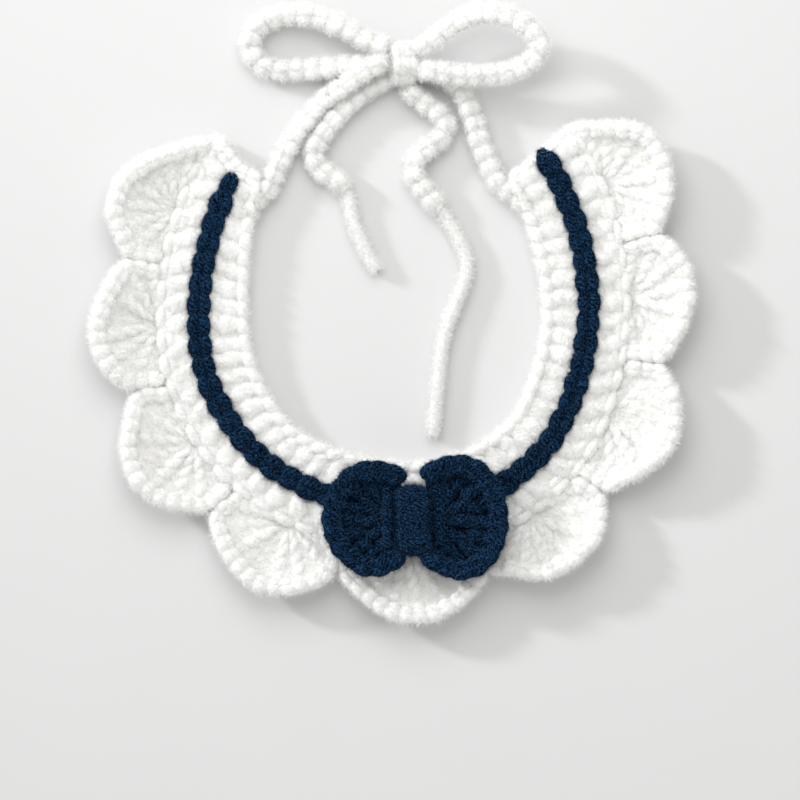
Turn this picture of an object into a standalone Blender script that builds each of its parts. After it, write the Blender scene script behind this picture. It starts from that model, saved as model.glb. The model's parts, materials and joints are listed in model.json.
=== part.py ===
# Crochet pet collar, lying flat: a band of two double-crochet rows with a navy chain worked
# between them, nine cupped shells round its outer edge, a navy bow sewn on at the front and
# two white ties, knotted in a bow at the back of the neck.
# +Z is up and the bow points to -Y. Every size below is in millimetres.
import math

import bmesh
import bpy
import numpy as np

MM = 0.001
SEAM_GAP = 0.3  # between two pieces that touch

# The band. Stitches are counted along the navy chain, from the left end round to the right.
STITCHES = 45
STITCHES_PER_SHELL = 5
STITCH_PITCH = 5.73
OUTER_ROW = 10.4  # from the chain's centre to the roots of the shells
GROOVE = 3.6  # half the width of the groove that the chain lies in
STEPS_PER_POST = 3  # a valley, then two points on the post
POST_RELIEF = 1.1
POST_LEAN = 0.4  # how far a post leans along the band, in stitches
UPRIGHT_STITCHES = 3.0  # the posts beside each end of the band stand straight
END_DROP = 1.2  # how much lower the band is at its two ends

# The fans of the shells and of the bow's lobes: their posts, the height at the hub, the
# lowest surface and the depth from the posts' tops to the underside.
SHELL_FAN = {"posts": 8, "root": 4.8, "floor": 0.0, "depth": 4.6}
LOBE_FAN = {"posts": 9, "root": 11.0, "floor": 7.1, "depth": 5.2}
HUB_DIP = 0.4  # how far the surface sinks at the hub
FAN_RELIEF = 0.9
BEAD_RELIEF = 0.5
HUB_RADIUS = 1.0

# The navy chain, the bow and the ties.
CHAIN_BASE = 3.55
CORD_DIAMETER = 4.7
YARN_DIAMETER = 3.4


def table(columns, *rows):
    names = columns.split()
    return [dict(zip(names, row)) for row in rows]


# The navy chain's centre line at each shell boundary, and the inner row's width there.
BAND = table(
    "x y neck_row",
    (-43.0, 54.5, 8.0),
    (-52.0, 27.5, 12.8),
    (-51.0, -0.5, 13.6),
    (-35.5, -24.0, 12.4),
    (-10.0, -36.0, 12.8),
    (18.5, -36.5, 13.4),
    (42.0, -21.0, 12.6),
    (53.0, 5.5, 12.6),
    (52.5, 33.5, 12.8),
    (41.5, 60.0, 12.8),
)

# How far the band runs on past its first and its last stitch, at the neck and at the shells.
BAND_ENDS = table(
    "end neck outer",
    ("left", 0.5, 5.0),
    ("right", -1.0, 2.4),
)

# The band's cross-section. row is -1 for the inner row and 1 for the outer one; part runs
# over that row from the chain's groove, 0, to the row's edge, 1.
BAND_SECTION = table(
    "row part height relief",
    (1, 1.00, 1.0, 0.0),
    (1, 0.93, 0.0, 0.0),
    (0, 0.00, 0.0, 0.0),
    (-1, 0.92, 0.0, 0.0),
    (-1, 1.00, 1.2, 0.0),
    (-1, 1.00, 2.8, 0.1),
    (-1, 0.90, 3.9, 0.3),
    (-1, 0.76, 3.5, 0.5),
    (-1, 0.60, 4.1, 1.0),
    (-1, 0.32, 4.3, 1.0),
    (-1, 0.08, 4.0, 1.0),
    (-1, 0.00, 3.2, 0.0),
    (1, 0.00, 3.2, 0.0),
    (1, 0.10, 4.0, 1.0),
    (1, 0.50, 4.3, 1.0),
    (1, 0.88, 4.0, 0.9),
    (1, 1.00, 3.4, 0.2),
)

# The navy chain's cross-section; ahead is how far a point leads its stitch, which draws the
# chain's V.
CHAIN_SECTION = table(
    "across height ahead",
    (2.2, 0.00, 0.0),
    (3.2, 1.00, 0.0),
    (2.7, 2.35, 0.0),
    (1.3, 3.10, 0.15),
    (0.0, 2.70, 0.35),
    (-1.3, 3.10, 0.15),
    (-2.7, 2.35, 0.0),
    (-3.2, 1.00, 0.0),
    (-2.2, 0.00, 0.0),
)
CHAIN_SWELL = (0.80, 1.00, 0.97)  # the chain's girth over one stitch
CHAIN_END = 0.55  # its girth at both ends
CHAIN_FLATTENING = 0.4  # the share of its height that a narrow place keeps

# Where two shells part, seen from the chain: along it, out from it and how high the edge is.
NOTCHES = table(
    "along out top",
    (-5.4, 11.8, 5.8),
    (-1.0, 21.6, 6.5),
    (-1.8, 20.8, 6.5),
    (-1.5, 21.2, 6.0),
    (-0.5, 20.4, 6.2),
    (2.6, 21.0, 6.2),
    (1.0, 20.8, 6.0),
    (0.8, 21.8, 6.2),
    (0.0, 21.4, 7.6),
    (2.4, 12.2, 5.8),
)

# Each shell's reach from its hub to its rim, every 22.5 degrees from its first side to its
# last, and its rim's height on the first side, at the tip and on the last side.
SHELLS = table(
    "reach_135 reach_112 reach_90 reach_67 reach_45 first tip last",
    (17.5, 18.0, 19.0, 19.0, 18.5, 9.0, 10.0, 8.5),
    (19.0, 18.5, 19.5, 19.5, 20.0, 9.0, 10.0, 9.0),
    (20.5, 21.0, 21.0, 20.5, 19.5, 9.0, 9.5, 8.0),
    (21.0, 20.5, 21.0, 20.0, 19.5, 8.0, 8.5, 8.5),
    (18.5, 19.0, 20.0, 21.0, 22.0, 8.0, 8.5, 8.0),
    (17.0, 18.0, 18.5, 20.0, 21.5, 8.0, 9.0, 8.5),
    (19.0, 19.5, 20.5, 20.5, 21.0, 8.5, 9.5, 9.0),
    (18.5, 18.0, 18.4, 19.2, 20.0, 9.0, 10.0, 9.5),
    (19.0, 19.0, 19.5, 20.0, 19.0, 9.5, 10.0, 9.0),
)

# A fan's wall along one post, from hub to rim. part is a share of the reach, back is a
# distance in from the rim, and rise is the share of the rim's height over the hub's.
FAN_TOP = table(
    "part back rise relief",
    (0.22, 0.0, 0.06, 0.5),
    (0.42, 0.0, 0.20, 1.0),
    (0.62, 0.0, 0.45, 1.0),
    (1.00, 4.6, 0.68, 0.9),
    (1.00, 3.5, 0.72, 0.2),
)
RIM_BEAD = table(
    "back below",
    (2.0, 0.0),
    (0.4, 0.8),
    (0.0, 2.2),
    (1.0, 3.8),
)
FAN_UNDERSIDE = table(
    "part rise",
    (0.72, 0.60),
    (0.42, 0.20),
    (0.22, 0.06),
)

# The bow: two crocheted lobes and the wrap that gathers them. A lobe's reaches run from
# straight up beside the wrap, every 30 degrees, to straight down.
BOW_WRAP = {"x": 6.0, "y": -40.8, "half_width": 4.1, "half_length": 10.0, "base": 7.1}
BOW_LOBES = table(
    "name side up up_60 up_30 out down_30 down_60 down",
    ("bow_left", -1, 13.6, 18.2, 20.1, 20.2, 19.2, 16.9, 11.5),
    ("bow_right", 1, 14.6, 20.0, 21.7, 21.3, 21.0, 18.0, 11.0),
)
LOBE_RIM = {"beside_wrap": 11.8, "outer": 12.4}
WRAP_END_DROP = 0.22  # the share of its height that the wrap loses at its two ends
WRAP_SECTION = table(
    "across height",
    (1.00, 0.0),
    (1.00, 4.6),
    (0.80, 6.3),
    (0.40, 6.9),
    (-0.40, 6.9),
    (-0.80, 6.3),
    (-1.00, 4.6),
    (-1.00, 0.0),
)

# The ties. Each route starts at the band or at the knot.
KNOT = {"x": 3.0, "y": 84.8, "z": 4.9, "half": (3.3, 5.8, 4.8)}
KNOT_ROUNDING = 3.2  # 2 is an ellipse, more is closer to a box
KNOT_END = 0.45  # the girth of the knot's two ends
TIES = {
    "tie_left_lead": [
        (-34.0, 50.7, 2.5), (-30.5, 58.0, 2.5), (-25.5, 66.5, 2.5), (-19.5, 73.5, 2.8),
        (-12.0, 79.3, 5.6), (-6.5, 83.4, 7.6), (-1.4, 85.2, 7.9),
    ],
    "tie_left_loop": [
        (-1.3, 89.6, 5.2), (-6.5, 90.8, 5.4), (-14.5, 95.0, 5.6), (-21.5, 97.5, 5.4),
        (-28.5, 98.3, 4.8), (-34.6, 96.6, 4.0), (-38.2, 92.8, 3.2), (-38.4, 88.2, 2.7),
        (-35.6, 84.6, 2.5), (-30.6, 82.9, 2.5), (-24.0, 82.8, 2.5), (-18.0, 83.4, 2.5),
        (-10.0, 84.2, 2.5), (-5.0, 85.0, 2.5), (-1.0, 85.4, 2.5),
    ],
    "tie_left_tail": [
        (-0.3, 80.8, 2.7), (-5.0, 78.6, 2.5), (-12.0, 73.4, 2.5), (-17.0, 68.0, 2.5),
        (-20.0, 63.8, 2.5), (-21.5, 59.8, 2.5), (-20.0, 56.2, 2.5), (-16.5, 54.0, 2.5),
        (-14.0, 52.0, 2.5), (-12.0, 48.5, 1.9), (-10.5, 41.5, 1.9), (-7.5, 34.0, 1.9),
        (-4.0, 28.0, 1.9),
    ],
    "tie_right_lead": [
        (7.0, 83.0, 2.5), (11.0, 82.2, 2.5), (15.5, 80.4, 2.5), (19.0, 77.2, 2.5),
        (21.2, 72.5, 2.5), (23.2, 66.5, 2.5), (25.3, 60.4, 2.5), (29.7, 51.9, 2.5),
    ],
    "tie_right_loop": [
        (7.0, 88.2, 7.7), (11.5, 91.2, 8.4), (16.5, 95.0, 9.4), (22.0, 97.6, 10.5),
        (28.0, 98.2, 11.5), (34.0, 96.6, 12.2), (38.8, 93.4, 12.5), (40.8, 89.2, 12.2),
        (38.4, 85.2, 11.4), (33.0, 82.6, 10.4), (26.5, 81.6, 9.5), (19.0, 81.6, 8.6),
        (12.0, 82.6, 8.0), (7.0, 83.1, 7.7),
    ],
    "tie_right_tail": [
        (4.2, 77.9, 3.9), (8.2, 74.8, 2.9), (12.2, 72.0, 2.6), (14.6, 69.0, 2.5),
        (14.4, 65.6, 2.5), (11.6, 62.8, 2.5), (8.2, 60.2, 2.5), (6.2, 56.8, 2.5),
        (7.0, 52.8, 2.5), (10.6, 48.2, 2.5), (15.0, 42.4, 1.9), (18.8, 36.0, 1.9),
        (20.8, 29.5, 1.9), (19.2, 22.5, 1.9), (15.6, 13.5, 1.9), (13.7, 5.5, 1.9),
        (12.8, -2.5, 1.9), (12.0, -10.5, 1.9), (11.5, -17.5, 1.9),
    ],
}
YARN_STARTS_AT = {"tie_left_tail": 9, "tie_right_tail": 10}  # past the chain, plain yarn

YARNS = {
    "white_yarn": {"colour": (0.86, 0.85, 0.81, 1.0), "roughness": 0.92},
    "navy_yarn": {"colour": (0.012, 0.028, 0.075, 1.0), "roughness": 0.9},
}


def clear_scene():
    for old in list(bpy.data.objects):
        bpy.data.objects.remove(old, do_unlink=True)


def make_yarn(name):
    yarn = YARNS[name]
    material = bpy.data.materials.new(name)
    material.use_nodes = True
    shader = material.node_tree.nodes["Principled BSDF"]
    shader.inputs["Base Color"].default_value = yarn["colour"]
    shader.inputs["Roughness"].default_value = yarn["roughness"]
    shader.inputs["Metallic"].default_value = 0.0
    material.diffuse_color = yarn["colour"]
    return material


def spline(values, at):
    """A smooth curve through evenly numbered values, running straight on past both ends."""
    values = np.asarray(values, float)
    slopes = np.gradient(values, axis=0, edge_order=2)
    at = np.asarray(at, float)
    inside = np.clip(at, 0, len(values) - 1)
    first = np.minimum(inside.astype(int), len(values) - 2)
    f = (inside - first)[..., None]
    curve = (
        (2 * f**3 - 3 * f**2 + 1) * values[first]
        + (f**3 - 2 * f**2 + f) * slopes[first]
        + (3 * f**2 - 2 * f**3) * values[first + 1]
        + (f**3 - f**2) * slopes[first + 1]
    )
    end_slope = np.where((at < 0)[..., None], slopes[0], slopes[-1])
    return curve + (at - inside)[..., None] * end_slope


def band_frame(stitch):
    """The chain's centre, its direction and the outward direction at a stitch number."""
    line = [(row["x"], row["y"]) for row in BAND]
    at = np.asarray(stitch, float) / STITCHES_PER_SHELL
    nearby = 0.02
    ahead = spline(line, at + nearby) - spline(line, at - nearby)
    ahead /= np.linalg.norm(ahead, axis=-1, keepdims=True)
    outward = np.stack([ahead[..., 1], -ahead[..., 0]], -1)
    return spline(line, at), ahead, outward


def on_band(stitch, across):
    """The point that lies a distance outside the chain's centre line."""
    centre, _, outward = band_frame(stitch)
    return centre + outward * np.asarray(across, float)[..., None]


def neck_row(stitch):
    widths = [(row["neck_row"],) for row in BAND]
    at = np.clip(np.asarray(stitch, float) / STITCHES_PER_SHELL, 0, len(BAND) - 1)
    return spline(widths, at)[..., 0]


def post_relief(posts):
    """0 in the valley before a post and 1 over most of its width."""
    return np.minimum(1.0, 1.3 * np.abs(np.sin(math.pi * np.asarray(posts, float))))


def near_end(stitch):
    """1 at the band's two ends, falling to 0 over the stitches beside them."""
    left = np.clip(1 - np.asarray(stitch, float) / UPRIGHT_STITCHES, 0, 1)
    right = np.clip(1 - (STITCHES - np.asarray(stitch, float)) / UPRIGHT_STITCHES, 0, 1)
    return left, right


def make_object(name, points, faces, material):
    mesh = bpy.data.meshes.new(name)
    mesh.from_pydata([tuple(p * MM) for p in np.asarray(points, float)], [], faces)
    shape = bmesh.new()
    shape.from_mesh(mesh)
    bmesh.ops.triangulate(shape, faces=[f for f in shape.faces if len(f.verts) > 4])
    bmesh.ops.recalc_face_normals(shape, faces=shape.faces)
    shape.to_mesh(mesh)
    shape.free()
    mesh.materials.append(material)
    mesh.shade_smooth()
    piece = bpy.data.objects.new(name, mesh)
    bpy.context.scene.collection.objects.link(piece)
    return piece


def skin_rings(name, rings, material):
    """Skins a row of equal rings and caps its first and its last ring."""
    rings = np.asarray(rings, float)
    count, size = rings.shape[:2]
    faces = []
    for k in range(count - 1):
        near, far = k * size, (k + 1) * size
        for i in range(size):
            j = (i + 1) % size
            faces.append((near + i, near + j, far + j, far + i))
    last = (count - 1) * size
    faces.append(tuple(range(size - 1, -1, -1)))
    faces.append(tuple(range(last, last + size)))
    return make_object(name, rings.reshape(-1, 3), faces, material)


def build_yoke(material):
    ends = {row["end"]: row for row in BAND_ENDS}
    rings = []
    for step in range(STITCHES * STEPS_PER_POST + 1):
        post = step / STEPS_PER_POST
        left, right = near_end(post)
        drop = END_DROP if step in (0, STITCHES * STEPS_PER_POST) else 0.0
        ring = []
        for row in BAND_SECTION:
            width = {-1: float(neck_row(post)), 0: 0.0, 1: OUTER_ROW}[row["row"]]
            across = row["row"] * (GROOVE + row["part"] * (width - GROOVE))
            reach = "outer" if across > 0 else "neck"
            share = abs(across) / OUTER_ROW
            run_left = ends["left"][reach] * min(1.0, share)
            run_right = ends["right"][reach] * min(1.0, share)
            lean = POST_LEAN * row["part"] * (1 - left) * (1 - right)
            stitch = post + lean + (right * run_right - left * run_left) / STITCH_PITCH
            x, y = on_band(stitch, across)
            relief = POST_RELIEF * row["relief"] * post_relief(post)
            on_top = row["relief"] > 0 or row["part"] == 0 and row["row"] != 0
            ring.append((x, y, row["height"] + float(relief) - (drop if on_top else 0.0)))
        rings.append(ring)
    return skin_rings("yoke", rings, material)


def build_chain(material):
    rings = []
    steps = STITCHES * STEPS_PER_POST
    for step in range(steps + 1):
        stitch = step / STEPS_PER_POST
        at_end = step in (0, steps)
        swell = CHAIN_END if at_end else CHAIN_SWELL[step % STEPS_PER_POST]
        rise = CHAIN_FLATTENING + (1 - CHAIN_FLATTENING) * swell
        ring = []
        for row in CHAIN_SECTION:
            ahead = 0.0 if at_end else row["ahead"]
            x, y = on_band(stitch + ahead, row["across"] * swell)
            ring.append((x, y, CHAIN_BASE + row["height"] * rise))
        rings.append(ring)
    return skin_rings("navy_chain", rings, material)


def notch_point(index, side_gap):
    """The outermost point of the seam between two shells, moved along it by a gap."""
    row = NOTCHES[index]
    centre, ahead, outward = band_frame(index * STITCHES_PER_SHELL)
    return centre + ahead * (row["along"] + side_gap) + outward * row["out"]


def build_fan(name, material, fan, hub, outline, heights, root_columns):
    """A cupped fan of posts with a raised rim. The outline runs from the first root corner
    round to the last one, and root_columns place the points of the first and last column."""
    offset = outline - hub
    angles = np.unwrap(np.arctan2(offset[:, 1], offset[:, 0]))
    reaches = np.linalg.norm(offset, axis=1)
    order = np.argsort(angles)
    steps = fan["posts"] * STEPS_PER_POST
    rings = []
    for step in range(steps + 1):
        angle = angles[0] + (angles[-1] - angles[0]) * step / steps
        direction = np.array((math.cos(angle), math.sin(angle)))
        reach = float(np.interp(angle, angles[order], reaches[order]))
        rim = float(np.interp(angle, angles[order], heights[order]))
        lift = rim - fan["root"]
        relief = FAN_RELIEF * float(post_relief(step / STEPS_PER_POST))
        bead_relief = BEAD_RELIEF * float(post_relief(step / STEPS_PER_POST + 0.5))

        profile = [(HUB_RADIUS, fan["root"] - HUB_DIP)]
        for row in FAN_TOP:
            height = fan["root"] - HUB_DIP + row["rise"] * lift + row["relief"] * relief
            profile.append((row["part"] * reach - row["back"], height))
        for row in RIM_BEAD:
            profile.append((reach - row["back"], rim - row["below"] + bead_relief))
        for row in FAN_UNDERSIDE:
            height = fan["root"] + row["rise"] * lift - fan["depth"]
            profile.append((row["part"] * reach, max(fan["floor"], height)))
        profile.append((HUB_RADIUS, fan["floor"]))

        column = root_columns.get(step, lambda share: hub + share * reach * direction)
        rings.append([(*column(distance / reach), height) for distance, height in profile])
    return skin_rings(name, rings, material)


def shell_corner_stitches(index):
    """The stitch numbers at which a shell's root begins and ends."""
    past = {end["end"]: end["outer"] / STITCH_PITCH for end in BAND_ENDS}
    start = index * STITCHES_PER_SHELL
    stop = start + STITCHES_PER_SHELL
    if index == 0:
        start -= past["left"]
    if index == len(SHELLS) - 1:
        stop += past["right"]
    return start, stop


def build_shell(index, material):
    row = SHELLS[index]
    start, stop = shell_corner_stitches(index)
    middle = (index + 0.5) * STITCHES_PER_SHELL
    root = OUTER_ROW + SEAM_GAP
    _, ahead, outward = band_frame(middle)
    hub = on_band(middle, root)
    half_gap = SEAM_GAP / 2
    start += half_gap / STITCH_PITCH
    stop -= half_gap / STITCH_PITCH
    first_corner, last_corner = on_band(start, root), on_band(stop, root)
    first_notch = notch_point(index, half_gap)
    last_notch = notch_point(index + 1, -half_gap)

    rim = [first_notch]
    for post, column in enumerate(("reach_135", "reach_112", "reach_90", "reach_67", "reach_45")):
        angle = math.radians(135 - 22.5 * post)
        rim.append(hub + row[column] * (math.cos(angle) * ahead + math.sin(angle) * outward))
    rim.append(last_notch)
    first_top, last_top = NOTCHES[index]["top"], NOTCHES[index + 1]["top"]
    rim_tops = [
        first_top, row["first"], (row["first"] + row["tip"]) / 2, row["tip"],
        (row["tip"] + row["last"]) / 2, row["last"], last_top,
    ]
    at = np.linspace(0, len(rim) - 1, 61)
    side = np.linspace(0, 0.9, 8)[:, None]
    outline = np.vstack([
        first_corner + side * (first_notch - first_corner),
        spline(rim, at),
        last_corner + side[::-1] * (last_notch - last_corner),
    ])
    heights = np.vstack([
        SHELL_FAN["root"] + side * (first_top - SHELL_FAN["root"]),
        spline([(top,) for top in rim_tops], at),
        SHELL_FAN["root"] + side[::-1] * (last_top - SHELL_FAN["root"]),
    ])[:, 0]

    def along_root(end):
        return lambda share: on_band(middle + (end - middle) * share, root)

    steps = SHELL_FAN["posts"] * STEPS_PER_POST
    root_columns = {0: along_root(start), steps: along_root(stop)}
    name = "shell_%d" % (index + 1)
    return build_fan(name, material, SHELL_FAN, hub, outline, heights, root_columns)


def build_lobe(row, material):
    """One side of the bow: a fan of posts that spreads from the side of the wrap."""
    hub = np.array((
        BOW_WRAP["x"] + row["side"] * (BOW_WRAP["half_width"] + SEAM_GAP),
        BOW_WRAP["y"],
    ))
    columns = ("up", "up_60", "up_30", "out", "down_30", "down_60", "down")
    rim = []
    for place, column in enumerate(columns):
        angle = math.radians(90 - 30 * place)
        rim.append(hub + row[column] * np.array((row["side"] * math.cos(angle), math.sin(angle))))
    beside, outer = LOBE_RIM["beside_wrap"], LOBE_RIM["outer"]
    tops = [(beside,), (outer,), (outer,), (outer,), (outer,), (outer,), (beside,)]
    at = np.linspace(0, len(rim) - 1, 61)
    outline = spline(rim, at)
    heights = spline(tops, at)[:, 0]
    return build_fan(row["name"], material, LOBE_FAN, hub, outline, heights, {})


def build_wrap(material):
    rings = []
    for place in np.linspace(-1, 1, 13):
        edge = 1 - WRAP_END_DROP * abs(place) ** 6
        ring = [
            (
                BOW_WRAP["x"] + row["across"] * BOW_WRAP["half_width"],
                BOW_WRAP["y"] + place * BOW_WRAP["half_length"],
                BOW_WRAP["base"] + row["height"] * edge,
            )
            for row in WRAP_SECTION
        ]
        rings.append(ring)
    return skin_rings("bow_wrap", rings, material)


def build_knot(material):
    """The knot of the ties, a block with rounded edges."""
    half_x, half_y, half_z = KNOT["half"]
    power = KNOT_ROUNDING
    sides = 16
    rings = []
    for place in np.linspace(-1, 1, 11):
        girth = max(KNOT_END, (1 - abs(place) ** power) ** (1 / power))
        ring = []
        for side in range(sides):
            angle = 2 * math.pi * side / sides
            x, z = math.cos(angle), math.sin(angle)
            reach = girth * (abs(x) ** power + abs(z) ** power) ** (-1 / power)
            ring.append((
                KNOT["x"] + half_x * reach * x,
                KNOT["y"] + half_y * place,
                KNOT["z"] + half_z * reach * z,
            ))
        rings.append(ring)
    return skin_rings("tie_knot", rings, material)


def build_tie(name, material):
    """A tube of cord with as many points as its route, which has more of them in its bends."""
    route = TIES[name]
    points = spline(route, np.linspace(0, len(route) - 1, len(route)))
    curve = bpy.data.curves.new(name, "CURVE")
    curve.dimensions = "3D"
    curve.bevel_depth = CORD_DIAMETER / 2 * MM
    curve.bevel_resolution = 2
    curve.use_fill_caps = True
    line = curve.splines.new("POLY")
    line.points.add(len(points) - 1)
    line.use_smooth = True
    for number, (point, place) in enumerate(zip(line.points, points)):
        point.co = (*(place * MM), 1.0)
        if number >= YARN_STARTS_AT.get(name, len(points)):
            point.radius = YARN_DIAMETER / CORD_DIAMETER
    curve.materials.append(material)
    piece = bpy.data.objects.new(name, curve)
    bpy.context.scene.collection.objects.link(piece)
    return piece


def build_collar():
    clear_scene()
    white = make_yarn("white_yarn")
    navy = make_yarn("navy_yarn")
    build_yoke(white)
    build_chain(navy)
    for index in range(len(SHELLS)):
        build_shell(index, white)
    for row in BOW_LOBES:
        build_lobe(row, navy)
    build_wrap(navy)
    build_knot(white)
    for name in TIES:
        build_tie(name, white)


build_collar()
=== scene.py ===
# A crochet pet collar in white and navy yarn, stitch by stitch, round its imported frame.
# Sizes are in millimetres unless a note says otherwise; every finished mesh is in metres.
import json
import math

import bpy
import numpy as np
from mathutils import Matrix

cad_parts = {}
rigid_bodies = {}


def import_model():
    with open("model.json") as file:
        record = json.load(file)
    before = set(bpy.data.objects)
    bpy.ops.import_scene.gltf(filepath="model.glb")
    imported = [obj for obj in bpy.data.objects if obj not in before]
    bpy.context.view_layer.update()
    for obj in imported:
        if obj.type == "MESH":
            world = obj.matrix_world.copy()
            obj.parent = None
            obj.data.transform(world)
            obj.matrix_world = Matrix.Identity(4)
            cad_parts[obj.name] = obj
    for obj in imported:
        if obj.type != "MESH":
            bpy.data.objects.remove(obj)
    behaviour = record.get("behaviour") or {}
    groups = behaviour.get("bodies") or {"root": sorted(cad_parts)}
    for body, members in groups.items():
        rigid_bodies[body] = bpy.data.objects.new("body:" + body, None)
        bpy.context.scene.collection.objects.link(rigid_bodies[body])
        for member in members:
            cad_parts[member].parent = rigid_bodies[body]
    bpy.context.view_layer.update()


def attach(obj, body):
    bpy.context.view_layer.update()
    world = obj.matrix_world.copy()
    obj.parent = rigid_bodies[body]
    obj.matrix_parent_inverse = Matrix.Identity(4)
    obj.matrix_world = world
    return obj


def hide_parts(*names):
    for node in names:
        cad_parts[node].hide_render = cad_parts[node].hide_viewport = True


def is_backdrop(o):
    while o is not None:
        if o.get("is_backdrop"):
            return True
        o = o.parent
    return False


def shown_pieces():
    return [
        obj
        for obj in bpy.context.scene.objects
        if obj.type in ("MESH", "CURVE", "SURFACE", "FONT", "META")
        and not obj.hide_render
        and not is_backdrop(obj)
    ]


mm = 0.001
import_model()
chance = np.random.default_rng(45)  # every uneven thing is drawn from here


def placed(name, data):
    thing = bpy.data.objects.new(name, data)
    bpy.context.scene.collection.objects.link(thing)
    return thing


# Nodes. A Wire is one output of a node, so that sums on it add their Math nodes.

def operator(name, turned=False):
    def work(self, other):
        first, second = (other, self) if turned else (self, other)
        return self.desk.maths(name, first, second)

    return work


class Wire:
    __add__, __radd__ = operator("ADD"), operator("ADD", True)
    __sub__, __rsub__ = operator("SUBTRACT"), operator("SUBTRACT", True)
    __mul__, __rmul__ = operator("MULTIPLY"), operator("MULTIPLY", True)
    __truediv__, __rtruediv__ = operator("DIVIDE"), operator("DIVIDE", True)

    def __init__(self, desk, socket):
        self.desk, self.socket = desk, socket

    def clamped(self):
        return self.desk.add("ShaderNodeClamp", {}, {0: self})

    def beside(self, output):
        # another output of the same node
        return Wire(self.desk, self.socket.node.outputs[output])


class Desk:
    def __init__(self, tree):
        self.tree = tree

    def add(self, kind, settings=None, inputs=None, output=0):
        node = self.tree.nodes.new(kind)
        for name, value in (settings or {}).items():
            setattr(node, name, value)
        byIdentifier = {socket.identifier: socket for socket in node.inputs}
        for name, value in (inputs or {}).items():
            socket = byIdentifier[name] if name in byIdentifier else node.inputs[name]
            if isinstance(value, Wire):
                self.tree.links.new(value.socket, socket)
            else:
                socket.default_value = value
        return Wire(self, node.outputs[output])

    def maths(self, operation, first, second=0.0):
        return self.add("ShaderNodeMath", {"operation": operation}, {0: first, 1: second})

    def mixed(self, factor, first, second):
        return self.add("ShaderNodeMix", {"data_type": "RGBA"}, {0: factor, 6: first, 7: second}, 2)

    def noise(self, vector, scale, detail=2.0, roughness=0.5):
        given = {"Vector": vector, "Scale": scale, "Detail": detail, "Roughness": roughness}
        return self.add("ShaderNodeTexNoise", {}, given)

    def here(self):
        return self.add("ShaderNodeTexCoord", output="Object")

    def finish(self, shader, colour, height=None, strength=0.8):
        # leads a colour, and a relief in millimetres, into the shader
        self.tree.links.new(colour.socket, shader.inputs["Base Color"])
        if height:
            bump = self.add("ShaderNodeBump", {}, {"Strength": strength, "Distance": mm, "Height": height})
            self.tree.links.new(bump.socket, shader.inputs["Normal"])


# Camera, floor and light.

camera = {
    "lens": 600.0,
    "sensor": 36.0,
    "framed": 220.0,  # how much of the floor the picture is wide
    "centre": (2.34, -7.7),
}
studio = {
    "floorSize": 9.0,  # m
    "floorDrop": 0.05,
    "floorColour": (0.728, 0.728, 0.731, 1.0),
    "paper": {"roughness": 0.95, "shine": 0.1, "sheen": 0.0},
    "clouds": 30.0,  # per metre
    "cloudShade": 0.985,
    "skyColour": (1.0, 0.996, 0.974, 1.0),
    "sky": 0.66,
    # where both lights are, round from +X and above the floor in degrees, and how far off in metres
    "sun": {"around": 152.0, "above": 21.5, "distance": 1.0, "power": 1.62},
    "softbox": {"around": 100.0, "above": 52.0, "distance": 0.46, "power": 1.02},
    "sunSpread": 5.5,  # degrees
    "sunColour": (0.968, 0.985, 1.0),
    "softboxSize": 0.36,  # m
}


def aimed(name, kind):
    look = studio[name]
    data = bpy.data.lights.new(name, kind)
    data.energy = look["power"]
    lamp = placed(name, data)
    around, above, distance = math.radians(look["around"]), math.radians(look["above"]), look["distance"]
    lamp.location = (
        distance * math.cos(above) * math.cos(around),
        distance * math.cos(above) * math.sin(around),
        distance * math.sin(above),
    )
    lamp.rotation_euler = (-lamp.location).to_track_quat("-Z", "Y").to_euler()
    return data


def makeCamera():
    data = bpy.data.cameras.new("camera")
    data.lens = camera["lens"]
    data.sensor_width = camera["sensor"]
    distance = camera["framed"] * mm * camera["lens"] / camera["sensor"]
    data.clip_end = 4 * distance
    eye = placed("camera", data)
    eye.location = (camera["centre"][0] * mm, camera["centre"][1] * mm, distance)
    bpy.context.scene.camera = eye


def makeStudio():
    half = studio["floorSize"] / 2
    mesh = bpy.data.meshes.new("floor")
    level = -studio["floorDrop"] * mm
    corners = [(-half, -half, level), (half, -half, level), (half, half, level), (-half, half, level)]
    mesh.from_pydata(corners, [], [(0, 1, 2, 3)])
    mesh.materials.append(makeFloorPaper())
    placed("floor", mesh)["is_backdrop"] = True

    world = bpy.data.worlds.new("studio")
    world.use_nodes = True
    sky = world.node_tree.nodes["Background"]
    sky.inputs["Color"].default_value = studio["skyColour"]
    sky.inputs["Strength"].default_value = studio["sky"]
    bpy.context.scene.world = world

    sun = aimed("sun", "SUN")
    sun.angle, sun.color = math.radians(studio["sunSpread"]), studio["sunColour"]
    aimed("softbox", "AREA").size = studio["softboxSize"]
    bpy.context.scene.view_settings.view_transform = "Standard"


# Finishes. Yarn is drawn from two attributes that the yarn tree stores: ply, a point on the
# unit circle round the strand, and along, the distance down it.

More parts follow.
